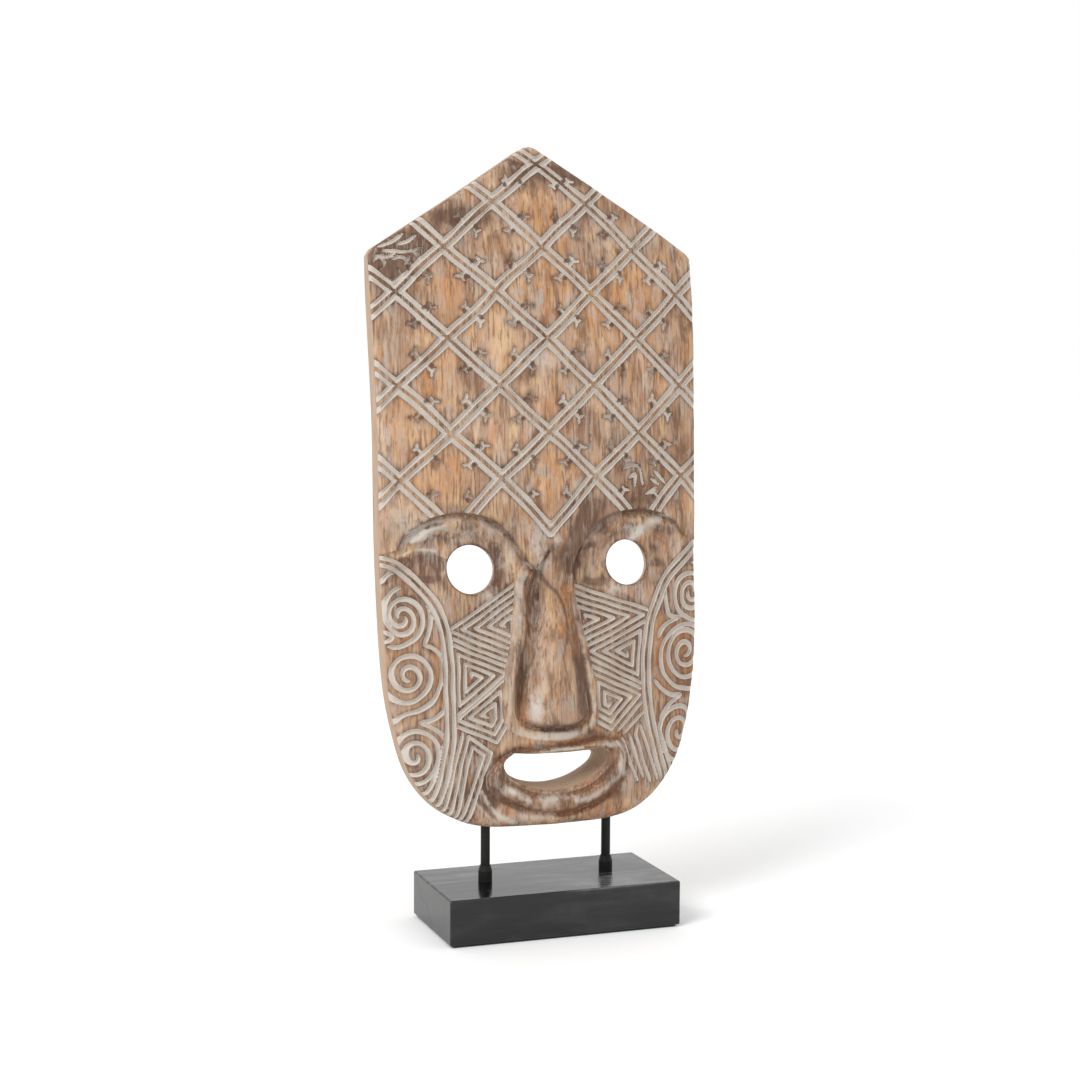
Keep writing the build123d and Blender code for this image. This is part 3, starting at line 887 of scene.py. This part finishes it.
def inner_points(loops, step):
    """Grid points inside the board: close together where it is carved, wider apart where it is plain."""
    low = loops[0].min(0)
    high = loops[0].max(0)
    u, v, coarse = hex_points(low, high, step)
    within = inside(loops[0], u, v) & ~inside(loops[1], u, v)
    u, v, coarse = u[within], v[within], coarse[within]
    gap = np.minimum(*[nearest(closed(loop), u, v, step)[0] for loop in loops])
    clear = gap > 0.55 * step
    u, v, coarse = u[clear], v[clear], coarse[clear]
    near = np.zeros(u.shape)
    for du, dv in ((0, 0), (1.1, 0), (-0.55, 0.95), (-0.55, -0.95)):
        near = np.maximum(near, grooves_at(u + du, v + dv)[0] + 0.15)
    base = relief(u, v)
    slope = np.maximum(abs(relief(u + 0.8, v) - base), abs(relief(u, v + 0.8) - base)) / 0.8
    busy = (near > 0) | (slope > 0.3) | (gap[clear] < 5)
    keep = coarse | busy
    return u[keep], v[keep]


def wall_ring(loop, high, row, is_eye):
    """One row of a wall's points, from the front, at height high, to the back: their places and heights."""
    share = min(row / WALL_ROWS, 1)
    on_back = row > WALL_ROWS
    w = np.zeros(len(loop)) if on_back else high + (BACK_INSET - high) * share
    if is_eye:
        shift = -EYE_FLARE * np.clip((high - EYE_RIM - w) / (high - EYE_RIM), 0, 1)
    else:
        bulge = 0.3 * ripple(loop[:, 0] + loop[:, 1], w * 3, 30, 6) * math.sin(math.pi * share)
        at_mouth = nearest(closed(mouth()), loop[:, 0], loop[:, 1], 2)[0] < 0.2
        shift = np.full(len(loop), -BACK_INSET) if on_back else bulge
        shift = shift + at_mouth * MOUTH_CLOSE * smoothstep(6, high * 0.7, high - w)
    return loop + wall_outward(loop) * shift[:, None], w


def build_board(name, side, material):
    """One board of the mask: a carved front, rounded walls and a flat back, as one mesh."""
    loops = list(board_loops(side, SPACING))
    flat, front_faces = fill(loops, *inner_points(loops, SPACING))
    front = front_fields(flat[:, 0], flat[:, 1])
    places = [to_row(flat[:, 0], flat[:, 1], front["w"])]
    values = [front]
    faces = [front_faces]
    start = 0
    top = len(flat)
    back_loops = []
    back_ids = []
    for loop, is_eye in zip(loops, (False, True)):
        above = np.arange(start, start + len(loop))
        high = front["w"][above]
        start += len(loop)
        for row in range(1, WALL_ROWS + 2):
            ring, w = wall_ring(loop, high, row, is_eye)
            here = np.arange(top, top + len(loop))
            top += len(loop)
            places.append(to_row(ring[:, 0], ring[:, 1], w))
            # the eyes' walls get pale paint over their front rows, painted light for their lit walls
            values.append(plain_fields(len(loop), 0.5 * is_eye * (row < WALL_ROWS - 1)))
            faces.append(np.stack([above, here, np.roll(here, -1), np.roll(above, -1)], 1))
            above = here
        back_loops.append(ring)
        back_ids.append(above)
    inner, back_faces = back_of(back_loops)
    ids = np.concatenate(back_ids + [np.arange(top, top + len(inner))])
    uneven = 0.35 + 0.35 * ripple(inner[:, 0], inner[:, 1] / 1.6, 22, 7)
    places.append(to_row(inner[:, 0], inner[:, 1], uneven))
    values.append(plain_fields(len(inner)))
    faces.append(ids[back_faces][:, ::-1])
    return make_piece(name, places, faces, values, material)


def back_of(loops):
    """The inner points of the flat back between its loops, and its triangles."""
    u, v, _ = hex_points(loops[0].min(0), loops[0].max(0), BACK_SPACING)
    within = inside(loops[0], u, v) & ~inside(loops[1], u, v)
    gap = np.minimum(*[nearest(closed(loop), u, v, 4)[0] for loop in loops])
    chosen = within & (gap > 2.5)
    points, triangles = fill(loops, u[chosen], v[chosen])
    return points[sum(map(len, loops)):], triangles


def make_piece(name, places, faces, values, material):
    """An object from its points, its blocks of faces and its blocks of strengths at each point."""
    mesh = bpy.data.meshes.new(name)
    mesh.from_pydata(np.vstack(places).tolist(), [], [f for block in faces for f in block.tolist()])
    mesh.update()
    for field in FIELDS:
        layer = mesh.attributes.new(field, "FLOAT", "POINT")
        numbers = np.concatenate([block[field] for block in values])
        layer.data.foreach_set("value", numbers.astype(np.float32))
    mesh.shade_smooth()
    mesh.set_sharp_from_angle(angle=SHARP_ANGLE)
    mesh.materials.append(material)
    piece = bpy.data.objects.new(name, mesh)
    bpy.context.scene.collection.objects.link(piece)
    return piece


# ---------------------------------------------------------------- materials
class Nodes:
    """Short ways to write a node material."""

    def __init__(self, name):
        self.material = bpy.data.materials.new(name)
        self.material.use_nodes = True
        self.tree = self.material.node_tree
        self.shader = self.tree.nodes["Principled BSDF"]
        self.place = self.tree.nodes.new("ShaderNodeTexCoord").outputs["Object"]

    def put(self, value, socket):
        """Links or sets a socket, whichever the value is for."""
        if isinstance(value, bpy.types.NodeSocket):
            self.tree.links.new(value, socket)
        else:
            socket.default_value = value

    def math(self, operation, a, b=0.0, clamp=False):
        node = self.tree.nodes.new("ShaderNodeMath")
        node.operation = operation
        node.use_clamp = clamp
        self.put(a, node.inputs[0])
        self.put(b, node.inputs[1])
        return node.outputs[0]

    def add(self, a, b, clamp=False):
        return self.math("ADD", a, b, clamp)

    def times(self, a, b, clamp=False):
        return self.math("MULTIPLY", a, b, clamp)

    def most(self, a, b):
        return self.math("MAXIMUM", a, b)

    def turned(self, place, scale=(1, 1, 1), rotation=(0, 0, 0), shift=(0, 0, 0)):
        node = self.tree.nodes.new("ShaderNodeMapping")
        self.put(place, node.inputs["Vector"])
        node.inputs["Scale"].default_value = scale
        node.inputs["Rotation"].default_value = rotation
        node.inputs["Location"].default_value = shift
        return node.outputs[0]

    def noise(self, place, scale, detail=3.0, roughness=0.55, distortion=0.0):
        node = self.tree.nodes.new("ShaderNodeTexNoise")
        self.put(place, node.inputs["Vector"])
        node.inputs["Scale"].default_value = scale
        node.inputs["Detail"].default_value = detail
        node.inputs["Roughness"].default_value = roughness
        node.inputs["Distortion"].default_value = distortion
        return node.outputs[0]

    def step(self, value, low, high, to_low=0.0, to_high=1.0):
        """A soft step from to_low to to_high as the value goes from low to high."""
        node = self.tree.nodes.new("ShaderNodeMapRange")
        node.interpolation_type = "SMOOTHSTEP"
        self.put(value, node.inputs["Value"])
        node.inputs["From Min"].default_value = low
        node.inputs["From Max"].default_value = high
        node.inputs["To Min"].default_value = to_low
        node.inputs["To Max"].default_value = to_high
        return node.outputs[0]

    def mix(self, share, a, b):
        node = self.tree.nodes.new("ShaderNodeMix")
        node.data_type = "RGBA"
        self.put(share, node.inputs[0])
        self.put((*a, 1) if isinstance(a, tuple) else a, node.inputs[6])
        self.put((*b, 1) if isinstance(b, tuple) else b, node.inputs[7])
        return node.outputs[2]

    def field(self, name):
        node = self.tree.nodes.new("ShaderNodeAttribute")
        node.attribute_name = name
        return node.outputs["Fac"]

    def bump(self, height, distance, strength=1.0):
        node = self.tree.nodes.new("ShaderNodeBump")
        node.inputs["Distance"].default_value = distance
        node.inputs["Strength"].default_value = strength
        self.put(height, node.inputs["Height"])
        return node.outputs[0]

    def surface(self, **sockets):
        """Sets the shader's sockets by name, an underscore for each space, and gives the material."""
        for name, value in sockets.items():
            self.put(value, self.shader.inputs[name.replace("_", " ")])
        return self.material


WOOD_BROWN = (0.190, 0.100, 0.058)
WOOD_TAN = (0.420, 0.262, 0.168)
WOOD_LIGHT = (0.600, 0.455, 0.330)
WOOD_CREAM = (0.640, 0.435, 0.245)
WOOD_ORANGE = (0.480, 0.215, 0.072)
# dark brown for char, and for painted shade and the barbs' painted shadows
CHAR_AND_SHADE_BROWN = (0.080, 0.038, 0.022)
RUST = (0.135, 0.050, 0.018)
GREY_WASH = (0.400, 0.350, 0.305)
WHITEWASH = (0.535, 0.482, 0.425)
RAW_SIDE = (0.425, 0.310, 0.218)


def carved_wood(name, shift, tone):
    """Whitewashed, burnt and rubbed wood with its grain up the mask. It reads the strengths in FIELDS."""
    n = Nodes(name)
    along = n.turned(n.place, rotation=(LEAN, 0, 0), shift=shift)
    fine = n.noise(n.turned(along, (1, 1, 0.09)), 560, 4, 0.6)
    fibre = n.noise(n.turned(along, (1, 1, 0.17)), 210, 4, 0.6, 0.4)
    figure = n.noise(n.turned(along, (1, 1, 0.30)), 75, 4, 0.6, 0.8)
    tint = n.noise(n.turned(along, (1, 1, 0.22), shift=(0.7, 0.1, 0.3)), 110, 4, 0.6, 0.6)
    cloud = n.noise(n.turned(along, (1, 1, 0.55), shift=(0.2, 0.6, 0.9)), 120, 4, 0.65, 0.5)
    glow = n.noise(n.turned(along, (1, 1, 0.42), shift=(0.5, 0.4, 0.1)), 80, 4, 0.6, 0.6)
    blotch = n.noise(along, 24, 3, 0.6)
    mottle = n.noise(n.turned(along, (1, 1, 0.55)), 240, 4, 0.65, 0.3)
    speck = n.noise(along, 430, 3, 0.7)

    # bare wood: brown to tan and cream, orange where it is warm, greyed in places
    colour = n.mix(n.step(n.add(figure, tone), 0.38, 0.58), WOOD_BROWN, WOOD_TAN)
    colour = n.mix(n.step(n.add(fibre, tone), 0.50, 0.68, 0, 0.7), colour, WOOD_LIGHT)
    colour = n.mix(n.step(n.add(glow, tone), 0.50, 0.68, 0, 0.7), colour, WOOD_CREAM)
    warm = n.add(n.step(tint, 0.50, 0.64, 0, 0.75), n.field("warm"), clamp=True)
    colour = n.mix(n.times(warm, n.step(fibre, 0.30, 0.60, 0.25, 0.85)), colour, WOOD_ORANGE)
    colour = n.mix(n.step(cloud, 0.54, 0.66, 0, 0.75), colour, GREY_WASH)
    colour = n.mix(n.step(fine, 0.50, 0.66, 0, 0.8), colour, WOOD_BROWN)

    # darker beside the grooves, and dark where the field of burn, stain and painted shade says
    dirt_and_shade = n.add(n.step(blotch, 0.50, 0.72, 0, 0.55), n.field("burn_and_shade"), clamp=True)
    rub = n.step(n.add(n.times(mottle, 0.5), n.times(fibre, 0.5)), 0.36, 0.64, 1.0, 0.62)
    closeness = n.math("POWER", n.field("near"), 2.0)
    dark = n.times(closeness, n.add(n.times(dirt_and_shade, 0.6), 0.76), clamp=True)
    dark = n.most(dark, n.times(n.field("burn_and_shade"), 0.95))
    dark = n.most(dark, n.step(blotch, 0.56, 0.75, 0, 0.28))
    dark = n.most(dark, n.step(n.field("groove"), -0.75, -0.10, 0, 0.6))
    char_and_shade = n.mix(n.step(n.field("warm"), 0.25, 0.9), CHAR_AND_SHADE_BROWN, RUST)
    char_and_shade = n.mix(n.step(fibre, 0.46, 0.64, 0, 0.4), char_and_shade, WOOD_BROWN)
    kept = n.most(rub, n.step(n.field("burn_and_shade"), 0.55, 0.95, 0, 0.9))
    # this mix paints the burnt and stained wood and the painted shade
    colour = n.mix(n.times(dark, kept), colour, char_and_shade)

    # whitewash left on the surface, and in thin streaks
    patchy = n.step(n.add(mottle, n.times(n.field("pale"), 0.30)), 0.46, 0.74)
    colour = n.mix(n.times(patchy, n.field("pale")), colour, WHITEWASH)
    streaks = n.times(n.step(fine, 0.50, 0.38), n.step(blotch, 0.44, 0.58, 0.05, 0.45))
    colour = n.mix(streaks, colour, GREY_WASH)

    # whitewash in the grooves, with a ragged edge
    washed = n.add(n.field("groove"), n.times(n.math("SUBTRACT", speck, 0.5), 0.20))
    washed = n.step(washed, -0.04, 0.10)
    wash = n.mix(n.step(mottle, 0.45, 0.72, 0, 0.45), WHITEWASH, GREY_WASH)
    colour = n.mix(n.times(washed, 0.96), colour, wash)

    # the barbs' painted shadows
    cut = n.times(n.step(n.field("shadow_score"), 0.18, 0.7), 0.8)
    colour = n.mix(cut, colour, CHAR_AND_SHADE_BROWN)
    # sawn wood on the walls and the back; the eyes' walls are made paler, painted light for their lit walls
    side = n.mix(n.step(figure, 0.35, 0.70, 0, 0.6), RAW_SIDE, WOOD_TAN)
    side = n.mix(n.step(fine, 0.50, 0.72, 0, 0.5), side, WOOD_BROWN)
    side = n.mix(n.times(n.field("pale"), 0.8), side, WHITEWASH)
    colour = n.mix(n.field("wall"), colour, side)

    height = n.add(n.times(fine, 0.6), n.times(speck, 0.3))
    height = n.add(height, n.times(fibre, 0.8))
    n.material.diffuse_color = (*WOOD_TAN, 1)
    return n.surface(Base_Color=colour, Roughness=n.step(fibre, 0.3, 0.7, 0.62, 0.82),
                     Normal=n.bump(height, 0.0007, 0.6), Specular_IOR_Level=0.35)


BASE_BLACK = (0.0012, 0.0012, 0.0012)
BASE_GRAIN = (0.005, 0.005, 0.005)
BASE_WORN_AND_SHEEN = (0.130, 0.130, 0.136)


def stained_wood():
    """The base's black satin wood: a wavy grain along its length, greyer on top, where it is worn and where a
    painted sheen stands in for the top's bright reflection.
    """
    n = Nodes("black_stained_wood")
    top = max(corner[2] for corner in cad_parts["base_block"].bound_box)
    grain = n.noise(n.turned(n.place, (0.05, 1, 1)), 420, 4, 0.6)
    broad = n.noise(n.turned(n.place, (0.15, 1, 1)), 60, 3, 0.5)
    waves = n.noise(n.turned(n.place, (0.16, 1, 0.6)), 48, 2, 0.5, 1.4)
    worn = n.noise(n.place, 70, 5, 0.7)
    colour = n.mix(n.step(grain, 0.42, 0.70), BASE_BLACK, BASE_GRAIN)
    streak = n.times(n.step(waves, 0.42, 0.64), n.step(worn, 0.25, 0.65, 0.3, 1))
    parts = n.tree.nodes.new("ShaderNodeSeparateXYZ")
    n.put(n.place, parts.inputs[0])
    # the top's grey streaks are wear and a painted sheen for its glossy reflection
    on_top = n.step(parts.outputs[2], top - 1.4 * MM, top - 0.6 * MM, 0.12, 0.85)
    colour = n.mix(n.times(streak, on_top), colour, BASE_WORN_AND_SHEEN)
    rough = n.add(n.step(grain, 0.35, 0.7, 0.12, 0.20), n.step(waves, 0.45, 0.66, 0, 0.10))
    height = n.add(n.times(grain, 0.4), broad)
    return n.surface(Base_Color=colour, Roughness=rough, Normal=n.bump(height, 0.0004, 0.35),
                     Specular_IOR_Level=0.5)


def black_steel():
    """The pins' and collars' blackened steel."""
    n = Nodes("black_satin_steel")
    speck = n.noise(n.place, 900, 3, 0.6)
    broad = n.noise(n.turned(n.place, (1, 1, 0.2)), 120, 3, 0.5)
    colour = n.mix(n.step(broad, 0.35, 0.7), (0.003, 0.003, 0.003), (0.010, 0.010, 0.009))
    return n.surface(Base_Color=colour, Roughness=n.step(speck, 0.35, 0.65, 0.34, 0.48),
                     Normal=n.bump(speck, 0.00006, 0.3), Specular_IOR_Level=0.22)


def zinc_steel():
    """The washers' and nuts' plating."""
    n = Nodes("zinc_plated_steel")
    cloud = n.noise(n.place, 260, 4, 0.6)
    colour = n.mix(n.step(cloud, 0.35, 0.7), (0.48, 0.49, 0.50), (0.66, 0.66, 0.64))
    return n.surface(Base_Color=colour, Roughness=n.step(cloud, 0.3, 0.7, 0.28, 0.45), Metallic=1.0,
                     Normal=n.bump(cloud, 0.00004, 0.3))


def felt():
    """The lining under the base."""
    n = Nodes("dark_felt")
    fluff = n.noise(n.place, 1500, 5, 0.7)
    colour = n.mix(n.step(fluff, 0.35, 0.7), (0.010, 0.012, 0.011), (0.034, 0.038, 0.036))
    return n.surface(Base_Color=colour, Roughness=0.95, Normal=n.bump(fluff, 0.0003, 0.8), Sheen_Weight=0.3)


# ---------------------------------------------------------------- the object
# (board, side, shift of its grain, how much lighter its wood is)
BOARDS = [("left", -1, (0, 0, 0), 0.03), ("right", 1, (0.31, 0.07, 0.13), 0.0)]


def build_mask():
    """The two carved boards, in place of the CAD ones."""
    ticks()
    side_panels()
    cheeks()
    for name, side, shift, tone in BOARDS:
        wood = carved_wood("carved_wood_" + name, shift, tone)
        piece = build_board("carved_board_" + name, side, wood)
        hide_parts("mask_board_" + name)
        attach(piece, "mask")


def finish_stand():
    """The stand's CAD pieces keep their shapes and get their finishes."""
    finishes = {"base_block": stained_wood(), "felt_lining": felt()}
    steel = black_steel()
    zinc = zinc_steel()
    for side in ("left", "right"):
        finishes["pin_" + side] = steel
        finishes["collar_" + side] = steel
        finishes["washer_" + side] = zinc
        finishes["nut_" + side] = zinc
    for node, material in finishes.items():
        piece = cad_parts[node]
        if not piece.material_slots:
            piece.data.materials.append(material)
        for slot in piece.material_slots:
            slot.material = material


# ---------------------------------------------------------------- studio
FLOOR_REACH = 14.0


def build_floor():
    """A plain, pale floor."""
    n = Nodes("studio_floor")
    cloud = n.noise(n.place, 3, 2, 0.5)
    colour = n.mix(n.step(cloud, 0.3, 0.7), (0.89, 0.89, 0.89), (0.90, 0.90, 0.90))
    n.surface(Base_Color=colour, Roughness=0.9, Specular_IOR_Level=0.1)
    corners = [(x * FLOOR_REACH, y * FLOOR_REACH, 0) for x, y in ((-1, -1), (1, -1), (1, 1), (-1, 1))]
    mesh = bpy.data.meshes.new("floor")
    mesh.from_pydata(corners, [], [(0, 1, 2, 3)])
    mesh.materials.append(n.material)
    floor = bpy.data.objects.new("floor", mesh)
    bpy.context.scene.collection.objects.link(floor)


def sun(name, direction, strength, degrees):
    """A broad, soft light from that direction."""
    data = bpy.data.lights.new(name, "SUN")
    data.energy = strength
    data.angle = math.radians(degrees)
    lamp = bpy.data.objects.new(name, data)
    lamp.rotation_euler = Vector(direction).to_track_quat("Z", "Y").to_euler()
    bpy.context.scene.collection.objects.link(lamp)


def build_lights():
    """A white surround and one soft key light from the upper left."""
    world = bpy.data.worlds.new("studio")
    world.use_nodes = True
    world.node_tree.nodes["Background"].inputs["Color"].default_value = (1, 1, 1, 1)
    world.node_tree.nodes["Background"].inputs["Strength"].default_value = 1.0
    bpy.context.scene.world = world
    sun("key", (-1.4, -0.8, 1.3), 1.5, 24)
    bpy.context.scene.view_settings.view_transform = "Standard"


CAMERA_PLACE = (-0.5243, -1.4222, 0.4283)
CAMERA_YAW = math.radians(20.02)
CAMERA_PITCH = math.radians(-5.26)
CAMERA_ROLL = 0.0051     # as a slope
CAMERA_LENS = 68.39


def build_camera():
    """A camera that looks along its yaw and pitch, rolled a little."""
    data = bpy.data.cameras.new("camera")
    data.lens = CAMERA_LENS
    data.sensor_width = 36
    data.clip_end = 60
    ahead = Vector((math.sin(CAMERA_YAW), math.cos(CAMERA_YAW), 0))
    forward = ahead * math.cos(CAMERA_PITCH) + Vector((0, 0, math.sin(CAMERA_PITCH)))
    level = Vector((math.cos(CAMERA_YAW), -math.sin(CAMERA_YAW), 0))
    upright = level.cross(forward)
    right = (level + CAMERA_ROLL * upright).normalized()
    up = right.cross(forward)
    turn = Matrix((right, up, -forward)).transposed().to_4x4()
    camera = bpy.data.objects.new("camera", data)
    camera.matrix_world = Matrix.Translation(CAMERA_PLACE) @ turn
    bpy.context.scene.collection.objects.link(camera)
    bpy.context.scene.camera = camera


build_mask()
finish_stand()
build_floor()
build_lights()
build_camera()
